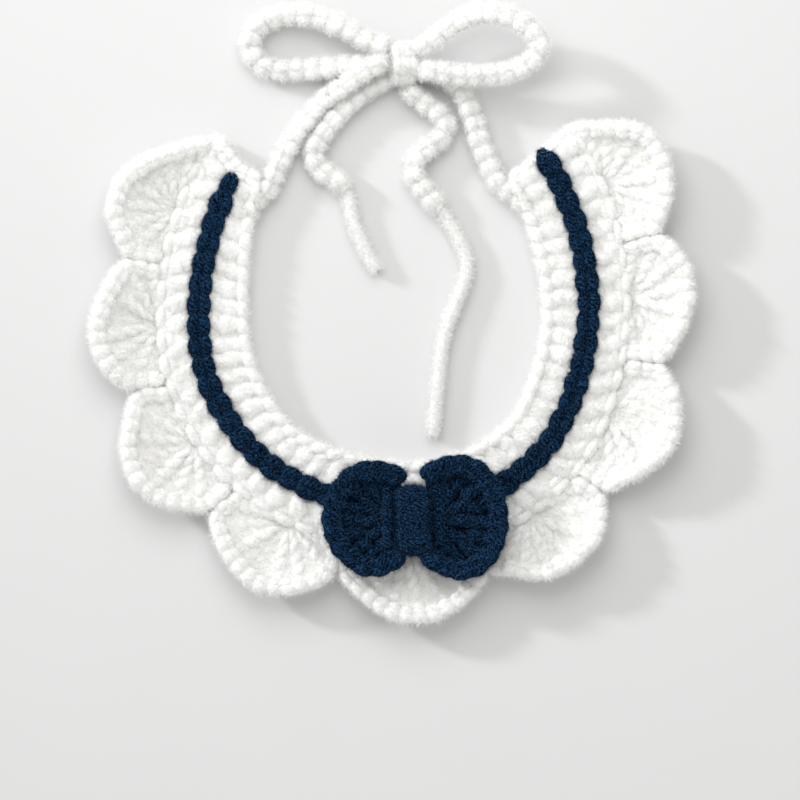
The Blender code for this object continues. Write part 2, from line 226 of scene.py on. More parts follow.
yarnLook = {
    "step": 0.8,
    "sides": 9,
    "plies": 4,
    "pitch": 4.2,  # one full turn of a ply
    "fibreRound": 5.0,  # fibres round the strand
    "specks": 2100.0,  # per metre, as the noises below
}
clothLook = {
    "lumps": 420.0,
    "fibres": 2600.0,
    "lumpBump": 1.2,
    "fibreBump": 0.25,
}
fluffSpecks = 2300.0
sheenRoughness = 0.4
white = {
    "colour": (0.965, 0.965, 0.960, 1.0),
    # the dark end of the tone: painted shade in the ply grooves and in the cloth's hollows, warm like the
    # shade between the posts, and also the darkest random specks
    "shadeAndSpecks": (0.935, 0.930, 0.905, 1.0),
    # the cloth wall that shows deep between the posts, painted warmer than the yarn: painted shade
    "shadedCloth": (0.965, 0.960, 0.938, 1.0),
    "fluff": (0.966, 0.966, 0.963, 1.0),
    "fluffShade": (0.930, 0.927, 0.914, 1.0),
    "fluffTone": 0.50,
    "fluffContrast": 3.0,
    "roughness": 0.95,
    "shine": 0.1,
    "sheen": 0.5,
    "tone": 0.1,  # above nought it lightens the yarn
    # how much darker the grooves between the plies are painted than their crests: painted shade
    "grooveShade": 0.8,
    "fibreTone": 1.7,
    "speckTone": 0.6,
    "fibreAlong": 700.0,  # per metre down the strand
    "grooveBump": 0.08,
    "fibreBump": 0.13,
}
navy = {
    "colour": (0.018, 0.066, 0.152, 1.0),
    # painted shade in the grooves and hollows, and the darkest random specks, as for the white
    "shadeAndSpecks": (0.0003, 0.0010, 0.0040, 1.0),
    # the cloth wall between the posts is painted far darker than the yarn: painted shade
    "shadedCloth": (0.002, 0.006, 0.015, 1.0),
    # the fibres are painted much lighter than the navy yarn: painted glint on the fuzz
    "fluff": (0.085, 0.215, 0.430, 1.0),
    "fluffShade": (0.0005, 0.0016, 0.0060, 1.0),
    "fluffTone": 0.05,
    "fluffContrast": 6.0,
    "roughness": 0.9,
    "shine": 0.02,
    "sheen": 0.0,
    "tone": -0.22,
    # painted shade in the ply grooves, as for the white
    "grooveShade": 0.45,
    "fibreTone": 4.6,
    "speckTone": 4.0,
    "fibreAlong": 1500.0,
    "grooveBump": 0.18,
    "fibreBump": 0.36,
}


def startMaterial(name, look):
    material = bpy.data.materials.new(name)
    material.use_nodes = True
    shader = material.node_tree.nodes["Principled BSDF"]
    shader.inputs["Roughness"].default_value = look["roughness"]
    shader.inputs["Sheen Weight"].default_value = look["sheen"]
    shader.inputs["Sheen Roughness"].default_value = sheenRoughness
    shader.inputs["Specular IOR Level"].default_value = look["shine"]
    return material, Desk(material.node_tree), shader


def makeYarn(name, look):
    material, desk, shader = startMaterial(name, look)
    ply = desk.add("ShaderNodeAttribute", {"attribute_name": "ply"}, output="Vector")
    along = desk.add("ShaderNodeAttribute", {"attribute_name": "along"}, output="Fac")
    x = desk.add("ShaderNodeSeparateXYZ", {}, {0: ply})
    angle = desk.maths("ARCTAN2", x.beside(1), x) + along * (2 * math.pi / (yarnLook["pitch"] * mm))
    crest = 0.5 + 0.5 * desk.maths("COSINE", angle * float(yarnLook["plies"]))
    lay = desk.add("ShaderNodeCombineXYZ", {}, {
        0: desk.maths("COSINE", angle) * yarnLook["fibreRound"],
        1: desk.maths("SINE", angle) * yarnLook["fibreRound"],
        2: along * look["fibreAlong"],
    })
    fibres = desk.noise(lay, 1.0, 3.0, 0.65)
    specks = desk.noise(desk.here(), yarnLook["specks"], 1.0)
    # painted shade: the grooves between the plies are painted darker than the crests; the fibre streaks
    # are painted lighter where their relief stands higher, and the specks vary the tone at random
    middle = look["tone"] + 0.5 - 0.5 * look["grooveShade"]
    tone = crest * look["grooveShade"] + (fibres - 0.5) * look["fibreTone"]
    tone = (tone + (specks - 0.5) * look["speckTone"] + middle).clamped()
    height = crest * look["grooveBump"] + fibres * look["fibreBump"]
    desk.finish(shader, desk.mixed(tone, look["shadeAndSpecks"], look["colour"]), height)
    return material


def makeCloth(name, look):
    material, desk, shader = startMaterial(name, look)
    lumps = desk.noise(desk.here(), clothLook["lumps"], 3.0, 0.6)
    fibres = desk.noise(desk.here(), clothLook["fibres"], 2.0, 0.6)
    height = lumps * clothLook["lumpBump"] + fibres * clothLook["fibreBump"]
    # painted shade: the cloth is painted darker where its lumps lie low
    desk.finish(shader, desk.mixed(lumps, look["shadeAndSpecks"], look["shadedCloth"]), height, 0.7)
    return material


def makeFluff(name, look):
    material, desk, shader = startMaterial(name, look)
    specks = desk.noise(desk.here(), fluffSpecks, 1.0)
    # random specks choose each fibre's tone; the navy's light end is painted glint
    tone = ((specks - 0.5) * look["fluffContrast"] + look["fluffTone"]).clamped()
    desk.finish(shader, desk.mixed(tone, look["fluffShade"], look["fluff"]))
    return material


def makeFloorPaper():
    material, desk, shader = startMaterial("floorPaper", studio["paper"])
    cloudy = desk.noise(desk.here(), studio["clouds"], 2.0)
    plain = studio["floorColour"]
    deeper = tuple(studio["cloudShade"] * c for c in plain[:3]) + (1.0,)
    desk.finish(shader, desk.mixed(cloudy, deeper, plain))
    return material


# The yarn tree sweeps a plied yarn along every strand; the fluff tree grows short fibres on it.

def startTree(name, labels):
    tree = bpy.data.node_groups.new(name, "GeometryNodeTree")
    kinds = {float: "NodeSocketFloat", int: "NodeSocketInt", None: "NodeSocketMaterial"}
    tree.interface.new_socket("Geometry", in_out="INPUT", socket_type="NodeSocketGeometry")
    for label, kind in labels.items():
        tree.interface.new_socket(label, in_out="INPUT", socket_type=kinds[kind])
    tree.interface.new_socket("Geometry", in_out="OUTPUT", socket_type="NodeSocketGeometry")
    desk = Desk(tree)
    given = tree.nodes.new("NodeGroupInput")
    return tree, desk, {s.name: Wire(desk, s) for s in given.outputs if s.name}


def endTree(desk, shape, material):
    real = desk.add("GeometryNodeRealizeInstances", {}, {"Geometry": shape})
    painted = desk.add("GeometryNodeSetMaterial", {}, {"Geometry": real, "Material": material})
    last = desk.tree.nodes.new("NodeGroupOutput")
    desk.tree.links.new(painted.socket, last.inputs[0])


def stored(desk, shape, kind, name, value):
    return desk.add("GeometryNodeStoreNamedAttribute", {"data_type": kind, "domain": "POINT"}, {
        "Geometry": shape,
        "Name": name,
        "Value": value,
    })


def makeYarnTree():
    tree, desk, given = startTree("yarn", {"Step": float, "Sides": int, "Yarn": None})
    smooth = desk.add(
        "GeometryNodeCurveSplineType", {"spline_type": "CATMULL_ROM"}, {"Curve": given["Geometry"]}
    )
    even = desk.add(
        "GeometryNodeResampleCurve", {"mode": "LENGTH"}, {"Curve": smooth, "Length": given["Step"]}
    )
    down = desk.add("GeometryNodeSplineParameter", output="Length")
    circle = desk.add("GeometryNodeCurvePrimitiveCircle", {"mode": "RADIUS"}, {
        "Resolution": given["Sides"],
        "Radius": 1.0,
    })
    onCircle = desk.add("GeometryNodeInputPosition")
    tube = desk.add("GeometryNodeCurveToMesh", {}, {
        "Curve": stored(desk, even, "FLOAT", "along", down),
        "Profile Curve": stored(desk, circle, "FLOAT_VECTOR", "ply", onCircle),
        "Scale": desk.add("GeometryNodeInputRadius") * mm,
        "Fill Caps": True,
    })
    endTree(desk, desk.add("GeometryNodeSetShadeSmooth", {}, {"Geometry": tube}), given["Yarn"])
    return tree


fibre = {
    # a fibre grows only where it sees out, because no other would be seen
    "lookFrom": 0.1,  # off the yarn
    "lookUp": 1.3,  # how much more it looks up than straight out
    "lookFar": 50.0,
    "lowest": -0.4,  # faces that look down more than this grow none
    # a straight ribbon, as shares of its length
    "root": (0.0, 0.0, -0.03),
    "tip": (0.92, 0.0, 0.36),
    "taper": 0.8,
    "lean": ((-0.6, -0.9, -math.pi), (0.6, 0.2, math.pi)),
    "sizes": (0.45, 1.35),
}


def makeFluffTree():
    labels = {"Density": float, "Seed": int, "Length": float, "Width": float, "Yarn": None}
    tree, desk, given = startTree("fluff", labels)
    place, outwards = desk.add("GeometryNodeInputPosition"), desk.add("GeometryNodeInputNormal")
    lift = (fibre["lookFrom"] * mm,) * 3
    lifted = desk.add(
        "ShaderNodeVectorMath", {"operation": "MULTIPLY_ADD"}, {0: outwards, 1: lift, 2: place}
    )
    lookout = desk.add(
        "ShaderNodeVectorMath", {"operation": "ADD"}, {0: outwards, 1: (0.0, 0.0, fibre["lookUp"])}
    )
    covered = desk.add("GeometryNodeRaycast", {}, {
        "Target Geometry": given["Geometry"],
        "Source Position": lifted,
        "Ray Direction": lookout,
        "Ray Length": fibre["lookFar"] * mm,
    })
    faceUp = desk.add("ShaderNodeSeparateXYZ", {}, {0: outwards}, 2)
    roots = desk.add("GeometryNodeDistributePointsOnFaces", {"distribute_method": "RANDOM"}, {
        "Mesh": given["Geometry"],
        "Selection": (1 - covered) * desk.maths("GREATER_THAN", faceUp, fibre["lowest"]),
        "Density": given["Density"],
        "Seed": given["Seed"],
    })
    line = desk.add("GeometryNodeCurvePrimitiveLine", {}, {"Start": fibre["root"], "End": fibre["tip"]})
    edge = desk.add("GeometryNodeCurvePrimitiveLine", {}, {
        "Start": (0.0, -0.5, 0.0),
        "End": (0.0, 0.5, 0.0),
    })
    taper = 1 - fibre["taper"] * desk.add("GeometryNodeSplineParameter", output="Factor")
    ribbon = desk.add("GeometryNodeCurveToMesh", {}, {
        "Curve": line,
        "Profile Curve": edge,
        "Scale": taper * given["Width"] / given["Length"],
    })
    low, high = fibre["lean"]
    lean = desk.add(
        "FunctionNodeRandomValue", {"data_type": "FLOAT_VECTOR"}, {"Min": low, "Max": high, "Seed": 3}
    )
    leaning = desk.add("FunctionNodeRotateRotation", {"rotation_space": "LOCAL"}, {
        "Rotation": roots.beside("Rotation"),
        "Rotate By": lean,
    })
    low, high = fibre["sizes"]
    size = desk.add(
        "FunctionNodeRandomValue", {"data_type": "FLOAT"}, {"Min_001": low, "Max_001": high, "Seed": 5}, 1
    )
    grown = desk.add("GeometryNodeInstanceOnPoints", {}, {
        "Points": roots,
        "Instance": ribbon,
        "Rotation": leaning,
        "Scale": size * given["Length"],
    })
    endTree(desk, grown, given["Yarn"])
    return tree


def runTree(name, data, tree, values):
    # what a tree makes of a curve or mesh, as a plain mesh
    source = placed(name, data)
    modifier = source.modifiers.new(tree.name, "NODES")
    modifier.node_group = tree
    for item in tree.interface.items_tree:
        if item.in_out == "INPUT" and item.name in values:
            modifier[item.identifier] = values[item.name]
    source.update_tag()
    depsgraph = bpy.context.evaluated_depsgraph_get()
    mesh = bpy.data.meshes.new_from_object(
        source.evaluated_get(depsgraph), preserve_all_data_layers=True, depsgraph=depsgraph
    )
    source.modifiers.remove(modifier)
    bpy.data.objects.remove(source, do_unlink=True)
    return mesh


def addPiece(name, mesh, node=None):
    mesh.name = name
    piece = placed(name, mesh)
    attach(piece, "root")
    if node:
        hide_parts(node)
    return piece


materials = {}  # yarn, shaded cloth and fluff of each slot; the cloth's colour is painted shade


def knitPiece(name, strands, slot, node=None):
    # one mesh of plied yarn from (points, radii) strands
    curve = bpy.data.curves.new(name, "CURVE")
    curve.dimensions = "3D"
    for points, radii in strands:
        points = np.array(points, float)
        points[:, 2] = np.maximum(points[:, 2], radii)  # nothing goes below the floor
        line = curve.splines.new("POLY")
        line.points.add(len(points) - 1)
        line.points.foreach_set("co", np.c_[points * mm, np.ones(len(points))].ravel())
        line.points.foreach_set("radius", np.asarray(radii, float))
        line.points.foreach_set("tilt", np.full(len(points), chance.uniform(0, 2 * math.pi)))
    mesh = runTree(name, curve, yarnTree, {
        "Step": yarnLook["step"] * mm,
        "Sides": yarnLook["sides"],
        "Yarn": materials[slot]["yarn"],
    })
    return addPiece(name, mesh, node)


# Lines. A Track carries stitches: along it, across it to the left, and above it.

def unit(vectors):
    return vectors / np.linalg.norm(vectors, axis=-1, keepdims=True)


def spline(values, at):
    # a smooth curve through evenly numbered values, straight on past both ends
    values = np.asarray(values, float)
    slopes = np.gradient(values, axis=0, edge_order=2)
    at = np.asarray(at, float)
    inside = np.clip(at, 0, len(values) - 1)
    first = np.minimum(inside.astype(int), len(values) - 2)
    f = (inside - first)[..., None]
    curve = (
        (2 * f**3 - 3 * f**2 + 1) * values[first]
        + (f**3 - 2 * f**2 + f) * slopes[first]
        + (3 * f**2 - 2 * f**3) * values[first + 1]
        + (f**3 - f**2) * slopes[first + 1]
    )
    endSlope = np.where((at < 0)[..., None], slopes[0], slopes[-1])
    return curve + (at - inside)[..., None] * endSlope


class Track:
    def __init__(self, points, up=(0.0, 0.0, 1.0), roll=0.0):
        self.points = np.asarray(points, float)
        gaps = np.linalg.norm(np.diff(self.points, axis=0), axis=1)
        self.marks = np.concatenate([[0.0], np.cumsum(gaps)])
        self.length = self.marks[-1]
        self.ahead = unit(np.gradient(self.points, self.marks, axis=0))
        side = unit(np.cross(np.broadcast_to(up, self.points.shape), self.ahead))
        above = np.cross(self.ahead, side)
        roll = np.radians(np.broadcast_to(roll, len(self.points)))[:, None]
        self.side = np.cos(roll) * side + np.sin(roll) * above
        self.above = np.cos(roll) * above - np.sin(roll) * side

    def read(self, rows, along):
        return np.stack([np.interp(along, self.marks, rows[:, k]) for k in range(3)], -1)

    def place(self, along, across, above):
        along = np.asarray(along, float)
        past = along - np.clip(along, 0, self.length)
        centre = self.read(self.points, along) + past[..., None] * self.read(self.ahead, along)
        across, above = np.broadcast_to(across, along.shape), np.broadcast_to(above, along.shape)
        return centre + across[..., None] * self.read(self.side, along) \
            + above[..., None] * self.read(self.above, along)


# A chain stitch is one loop: both its legs rise out of the loop before and close under the next.
# The columns are shares of the pitch, of the legs' widest place and of the leg's radius.
chainStitch = {
    "along": (0.00, 0.14, 0.38, 0.68, 0.98, 1.22),
    "across": (0.15, 0.62, 0.98, 1.00, 0.60, 0.0),
    "above": (-0.60, 0.10, 0.42, 0.25, -0.25, -0.65),
    "girth": (0.88, 0.98, 1.05, 1.05, 0.96, 0.90),
}


def chainStrands(track, count, halfWidth, leg, uneven=0.05, firstSize=1.0):
    # firstSize is how big the first stitch is beside the others
    pitch = track.length / (count + chainStitch["along"][-1] - 1)
    legs = {name: np.array(column + column[-2::-1]) for name, column in chainStitch.items()}
    legs["across"][len(chainStitch["across"]):] *= -1  # back down the other side
    strands = []
    for number in range(count):
        size = firstSize if number == 0 else 1.0
        swell = size * (1 + uneven * chance.standard_normal())
        shift = uneven * chance.standard_normal()
        points = track.place(
            (number + legs["along"]) * pitch,
            legs["across"] * (halfWidth - leg) * swell + shift * leg,
            legs["above"] * leg,
        )
        girth = legs["girth"] * leg * size * (1 + 0.5 * uneven * chance.standard_normal())
        strands.append((points, girth))
    return strands


def backStrand(track, steps, height, radius, sway=0.0):
    # the loops' backs, which fill a chain
    sideways = np.where(np.arange(steps) % 2, -sway, sway)
    return track.place(np.linspace(0, track.length, steps), sideways, height), np.full(steps, radius)


tallStitch = {"points": 9, "flatness": 0.8}


def postStrands(track, girths, pair, turns, phase):
    # a tall stitch: two strands laid round each other; girths is its half width along the track
    at = np.linspace(0, 1, tallStitch["points"])
    halfWidth = np.interp(at, np.linspace(0, 1, len(girths)), girths)
    apart = halfWidth * pair
    strands = []
    for side in (0.0, math.pi):
        angle = side + phase + 2 * math.pi * turns * at
        above = tallStitch["flatness"] * apart * np.sin(angle)
        strands.append((track.place(at * track.length, apart * np.cos(angle), above), halfWidth - apart))
    return strands


def clothWall(name, top, bottom, slot, node):
    # a thin closed wall between two grids of points
    def between(near, far):
        return np.stack([near[:-1], near[1:], far[1:], far[:-1]], -1)

    grid = np.arange(top[..., 0].size).reshape(top.shape[:2])
    under = grid + grid.size
    pairs = (
        (between(grid[:, :-1], grid[:, 1:]), between(under.T[:, :-1], under.T[:, 1:]).swapaxes(0, 1)),
        (between(grid[:, 0], under[:, 0])[:, ::-1], between(grid[:, -1], under[:, -1])),
        (between(grid[0], under[0]), between(grid[-1], under[-1])[:, ::-1]),
    )
    faces = np.concatenate([np.stack(pair, -2).reshape(-1, 4) for pair in pairs])
    mesh = bpy.data.meshes.new(name)
    points = np.concatenate([top.reshape(-1, 3), bottom.reshape(-1, 3)]) * mm
    mesh.from_pydata(points.tolist(), [], faces.tolist())
    mesh.validate()
    mesh.shade_smooth()
    # the wall shows deep between the posts, and its colour is painted shade
    mesh.materials.append(materials[slot]["shadedCloth"])
    volume = 0.0
    for face in mesh.polygons:
        first, second = (mesh.vertices[v].co for v in face.vertices[:2])
        volume += first.cross(second).dot(face.center)
    if volume < 0:  # the grid ran round the other way
        mesh.flip_normals()
    return addPiece(name, mesh, node)


# The ties. Each route runs to the knot or away from it, and the tails end in plain yarn.

ties = {
    "perPoint": 12,  # steps of the smooth line for each point of a route
    "diameter": 4.7,
    "halfWidth": 2.6,
    "leg": 1.75,
    "pitch": 4.4,
    "uneven": 0.06,
    "back": {"height": -0.15, "radius": 2.1, "sway": 0.25},
    "rolls": 26.0,  # degrees that the cord turns to and fro
    "rollEvery": 0.9,  # radians at each point of the route
    # the plain yarn's radius, and its shares at its hidden start and at its tip
    "yarn": {"radius": 1.65, "start": 1.1, "tip": 0.72, "hidden": 1.2, "fromStart": 0.2, "fromTip": 0.25},
    # two points of each lead's route are over the band's corner
    "routes": {
        "tie_left_lead": [
            (-40.2, 42.0, 2.9), (-38.4, 46.6, 3.0),
            (-34.0, 50.7, 2.5), (-30.5, 58.0, 2.5), (-25.5, 66.5, 2.5), (-19.5, 73.5, 2.8),
            (-12.0, 79.3, 5.6), (-6.5, 83.4, 7.6), (-1.4, 85.2, 7.9),
        ],
        "tie_left_loop": [
            (-1.3, 89.6, 5.2), (-6.5, 90.8, 5.4), (-14.5, 95.0, 5.6), (-21.5, 97.5, 5.4),
            (-28.5, 98.3, 4.8), (-34.6, 96.6, 4.0), (-38.2, 92.8, 3.2), (-38.4, 88.2, 2.7),
            (-35.6, 84.6, 2.5), (-30.6, 82.9, 2.5), (-24.0, 82.8, 2.5), (-18.0, 83.4, 2.5),
            (-10.0, 84.2, 2.5), (-5.0, 85.0, 2.5), (-1.0, 85.4, 2.5),
        ],
        "tie_left_tail": [
            (-0.3, 80.8, 2.7), (-5.0, 78.6, 2.5), (-12.0, 73.4, 2.5), (-17.0, 68.0, 2.5),
            (-20.0, 63.8, 2.5), (-21.5, 59.8, 2.5), (-20.0, 56.2, 2.5), (-16.5, 54.0, 2.5),
            (-14.0, 52.0, 2.5), (-12.0, 48.5, 1.9), (-10.5, 41.5, 1.9), (-7.5, 34.0, 1.9),
            (-4.0, 28.0, 1.9),
        ],
        "tie_right_lead": [
            (7.0, 83.0, 2.5), (11.0, 82.2, 2.5), (15.5, 80.4, 2.5), (19.0, 77.2, 2.5),
            (21.2, 72.5, 2.5), (23.2, 66.5, 2.5), (25.3, 60.4, 2.5), (29.7, 51.9, 2.5),
            (34.4, 48.6, 3.0), (37.0, 44.6, 2.9),
        ],
        "tie_right_loop": [
            (7.0, 88.2, 7.7), (11.5, 91.2, 8.4), (16.5, 95.0, 9.4), (22.0, 97.6, 10.5),
            (28.0, 98.2, 11.5), (34.0, 96.6, 12.2), (38.8, 93.4, 12.5), (40.8, 89.2, 12.2),
            (38.4, 85.2, 11.4), (33.0, 82.6, 10.4), (26.5, 81.6, 9.5), (19.0, 81.6, 8.6),
            (12.0, 82.6, 8.0), (7.0, 83.1, 7.7),
        ],
        "tie_right_tail": [
            (4.2, 77.9, 3.9), (8.2, 74.8, 2.9), (12.2, 72.0, 2.6), (14.6, 69.0, 2.5),
            (14.4, 65.6, 2.5), (11.6, 62.8, 2.5), (8.2, 60.2, 2.5), (6.2, 56.8, 2.5),
            (7.0, 52.8, 2.5), (10.6, 48.2, 2.5), (15.0, 42.4, 1.9), (18.8, 36.0, 1.9),
            (20.8, 29.5, 1.9), (19.2, 22.5, 1.9), (15.6, 13.5, 1.9), (13.7, 5.5, 1.9),
            (12.8, -2.5, 1.9), (12.0, -10.5, 1.9), (11.5, -17.5, 1.9),
        ],
    },
    "yarnFrom": {"tie_left_tail": 8.6, "tie_right_tail": 9.6},  # where on the route the chain ends
    "farEnds": {"lead": "knot", "loop": "knot", "tail": "bare"},
}


def tieStrands(name, route):
    last = len(route) - 1
    chainEnd = ties["yarnFrom"].get(name, last)
    at = np.linspace(0, chainEnd, ties["perPoint"] * len(route))
    roll = ties["rolls"] * np.sin(ties["rollEvery"] * at + len(name))
    track = Track(spline(route, at), roll=roll)
    count = max(3, round(track.length / ties["pitch"]))
    strands = chainStrands(track, count, ties["halfWidth"], ties["leg"], ties["uneven"])
    strands.append(backStrand(track, 2 * count + 1, **ties["back"]))
    if chainEnd < last:
        yarn = ties["yarn"]
        start = chainEnd - yarn["hidden"]
        at = np.linspace(start, last, 48)
        marks = (start, chainEnd + yarn["fromStart"], last - yarn["fromTip"], last)
        shares = np.interp(at, marks, (yarn["start"], 1.0, 1.0, yarn["tip"]))
        strands.append((spline(route, at), shares * yarn["radius"]))
    return strands


def makeTies(knotPiece):
    for name, route in ties["routes"].items():
        _, side, part = name.split("_")
        cord = knitPiece(side + part.capitalize() + "Cord", tieStrands(name, route), "white_yarn", name)


knot = {
    "middle": (3.0, 84.8, 4.9),
    "halfY": 5.8,
    "halfZ": 4.8,
    "wraps": (-1.25, 1.35),  # where the cord passes over the knot, from its middle
    "halfWidth": 2.3,
    "leg": 1.45,
    "stitches": 5,
    "slant": 0.9,
    "sunk": 1.3,  # how deep the cord's middle lies, in radii of its yarn
    # the core under the wraps, from fat strands side by side
    "core": {"length": 0.72, "across": (-1.6, 0.0, 1.6), "radii": (1.6, 2.7, 2.9, 2.7, 1.6)},
}


def makeKnot():
    strands = []
    middle = np.array(knot["middle"])
    angle = np.linspace(0, 2 * math.pi, 49)
    sunk = knot["leg"] * knot["sunk"]
    for wrap in knot["wraps"]:
        loop = np.stack([
            wrap + knot["slant"] * np.sin(angle),
            (knot["halfY"] - sunk) * np.cos(angle),
            (knot["halfZ"] - sunk) * np.sin(angle),
        ], -1)
        track = Track(middle + loop, up=unit(loop * (0, 1, 1)))
        strands += chainStrands(track, knot["stitches"], knot["halfWidth"], knot["leg"])
    core = knot["core"]
    ends = knot["halfY"] * core["length"]
    for across in core["across"]:
        points = [middle + (across, y, 0) for y in np.linspace(-ends, ends, len(core["radii"]))]
        strands.append((points, np.array(core["radii"])))
    return knitPiece("tieKnot", strands, "white_yarn", "tie_knot")


# The band: the navy chain's centre line at each shell boundary, and the inner row's width there.

band = {
    "stitches": 45,
    "perShell": 5,
    "pitch": 5.73,
    "outerRow": 10.4,
    "groove": 3.6,  # out from the chain's line to where the posts begin to lean
    "lean": 0.4,  # how far ahead they lean, in stitches
    "upright": 3.0,  # the stitches beside both ends where they stand straighter
    # how far the band runs on past both ends of its chain
    "leftEnd": {"neck": 0.5, "outer": 5.0},
    "rightEnd": {"neck": -1.0, "outer": 2.4},
    "line": [
        (-43.0, 54.5, 8.0), (-52.0, 27.5, 12.8), (-51.0, -0.5, 13.6), (-35.5, -24.0, 12.4),
        (-10.0, -36.0, 12.8), (18.5, -36.5, 13.4), (42.0, -21.0, 12.6), (53.0, 5.5, 12.6),
        (52.5, 33.5, 12.8), (41.5, 60.0, 12.8),
    ],
}


def bandFrame(stitch):
    line = np.array(band["line"])[:, :2]
    at = np.asarray(stitch, float) / band["perShell"]
    nearby = 0.02
    ahead = unit(spline(line, at + nearby) - spline(line, at - nearby))
    outward = np.stack([ahead[..., 1], -ahead[..., 0]], -1)
    return spline(line, at), ahead, outward


def onBand(stitch, across):
    centre, _, outward = bandFrame(stitch)
    return centre + outward * np.asarray(across, float)[..., None]


def neckRow(stitch):
    at = np.clip(np.asarray(stitch, float) / band["perShell"], 0, len(band["line"]) - 1)
    return spline(np.array(band["line"])[:, 2:], at)[..., 0]


def onYoke(post, across):
    # the place across the band that belongs to a post, which leans ahead and stands straight
    # beside the band's two ends
    post, across = np.broadcast_arrays(np.asarray(post, float), np.asarray(across, float))
    width = np.where(across > 0, band["outerRow"], neckRow(post))
    part = np.clip((np.abs(across) - band["groove"]) / (width - band["groove"]), 0, 1.2)
    share = np.minimum(1, np.abs(across) / band["outerRow"])
    lean, run = band["lean"] * part, 0.0
    for end, fromEnd, way in (("leftEnd", post, -1), ("rightEnd", band["stitches"] - post, 1)):
        near = np.clip(1 - fromEnd / band["upright"], 0, 1)
        lean = lean * (1 - near)
        run = run + way * near * (np.where(across > 0, band[end]["outer"], band[end]["neck"]) * share)
    return onBand(post + lean + run / band["pitch"], across)


def raised(flat, height):
    return np.concatenate([flat, np.broadcast_to(height, flat.shape[:-1])[..., None]], -1)


yoke = {
    "wallTop": (3.2, 4.5, 4.8, 4.8, 4.8, 4.7, 4.7, 4.7, 4.4, 3.4),  # from the neck outwards
    "wallInner": (1.0, 0.8, 0.6, 0.4, 0.2),  # its points on the inner row, as shares of it
    "wallOuter": (0.5, 2.5, 5.0, 7.5, 9.9),  # and out on the other
    "wallEnds": (1.5, 0.75),  # how much lower it is at the band's two ends, over how many stitches
    "postCentre": 2.6,
    "postRise": (-0.7, -0.1, 0.05, 0.1, 0.05, -0.1, -0.6),
    "postGirths": (2.6, 3.1, 3.3, 3.3, 3.3, 3.1, 2.6),
    "pair": 0.15,  # how far a post's two strands lie apart, as a share of its half width
    "turns": 0.7,
    "postStart": 2.2,
    "outerInset": 0.9,  # between the row's edge and the posts' ends
    "neckInset": 2.0,
    "outerEdge": {"inset": 0.9, "height": 3.2, "halfWidth": 2.6, "leg": 1.45, "roll": -8.0},
    "neckEdge": {"inset": 2.1, "height": 3.0, "halfWidth": 2.8, "leg": 1.65, "roll": 40.0},
    "uneven": {"place": 0.05, "height": 0.15, "bend": 0.09, "girth": 0.05},
    "phase": (0.2, 0.8),
    # a chain up each end of the band: the posts they lie at, and in from the neck and outer edges
    "ends": {"posts": (-0.12, 44.75), "insets": (1.8, 1.0), "height": 3.1, "halfWidth": 2.5, "leg": 1.6},
    "endStitches": 5,
}


def flatChain(line, look, count):
    # a chain on a flat line, as look says how high, wide and thick it is
    track = Track(raised(line, look["height"]), roll=look.get("roll", 0.0))
    return chainStrands(track, count, look["halfWidth"], look["leg"])


def yokePosts(row):
    # row is 1 for the outer one and -1 for the inner one
    uneven = yoke["uneven"]
    strands = []
    for number in range(band["stitches"]):
        post = number + 0.5 + uneven["place"] * chance.standard_normal()
        edge = band["outerRow"] - yoke["outerInset"] if row > 0 else neckRow(post) - yoke["neckInset"]
        across = row * np.linspace(yoke["postStart"], edge, len(yoke["postRise"]))
        lift = uneven["height"] * chance.standard_normal()
        height = yoke["postCentre"] + np.array(yoke["postRise"]) + lift
        bend = uneven["bend"] * chance.standard_normal() * np.sin(np.linspace(0, math.pi, len(across)))
        girths = yoke["postGirths"] * (1 + uneven["girth"] * chance.standard_normal(len(across)))
        track = Track(raised(onYoke(post + bend, across), height))
        strands += postStrands(track, girths, yoke["pair"], yoke["turns"], chance.uniform(*yoke["phase"]))
    return strands


def makeYoke():
    stitches = band["stitches"]
    posts = np.linspace(0, stitches, 4 * stitches + 1)
    width = neckRow(posts)
    columns = [onYoke(posts, (1.0 - width) * share) for share in yoke["wallInner"]]
    columns += [onYoke(posts, across) for across in yoke["wallOuter"]]
    flat = np.stack(columns, 1)
    fromEnds = np.minimum(posts, stitches - posts)[:, None]
    drop, slope = yoke["wallEnds"]
    top = np.array(yoke["wallTop"]) - drop * np.clip(1 - fromEnds / slope, 0, 1)
    wall = clothWall("yokeWall", raised(flat, top), raised(flat, 0.0), "white_yarn", "yoke")

    pieces = [
        knitPiece("yokeOuterPosts", yokePosts(1), "white_yarn"),
        knitPiece("yokeInnerPosts", yokePosts(-1), "white_yarn"),
    ]
    for name, edge, side in (("outerEdge", band["outerRow"], 1), ("neckEdge", -width, -1)):
        look = yoke[name]
        strands = flatChain(onYoke(posts, edge - side * look["inset"]), look, stitches)
        pieces.append(knitPiece("yoke" + name[0].upper() + name[1:], strands, "white_yarn"))
    look = yoke["ends"]
    neckInset, outerInset = look["insets"]
    strands = []
    for post in look["posts"]:
        across = np.linspace(neckInset - float(neckRow(post)), band["outerRow"] - outerInset, 25)
        strands += flatChain(onYoke(post, across), look, yoke["endStitches"])
    pieces.append(knitPiece("yokeEnds", strands, "white_yarn"))


navyChain = {
    "height": 5.1,
    "halfWidth": 3.15,
    "leg": 1.62,
    "ends": (0.12, 45.05),  # along the band, in stitches
    "firstSize": 0.7,
    "back": {"height": -0.9, "radius": 1.1},
    "backSteps": 120,
}


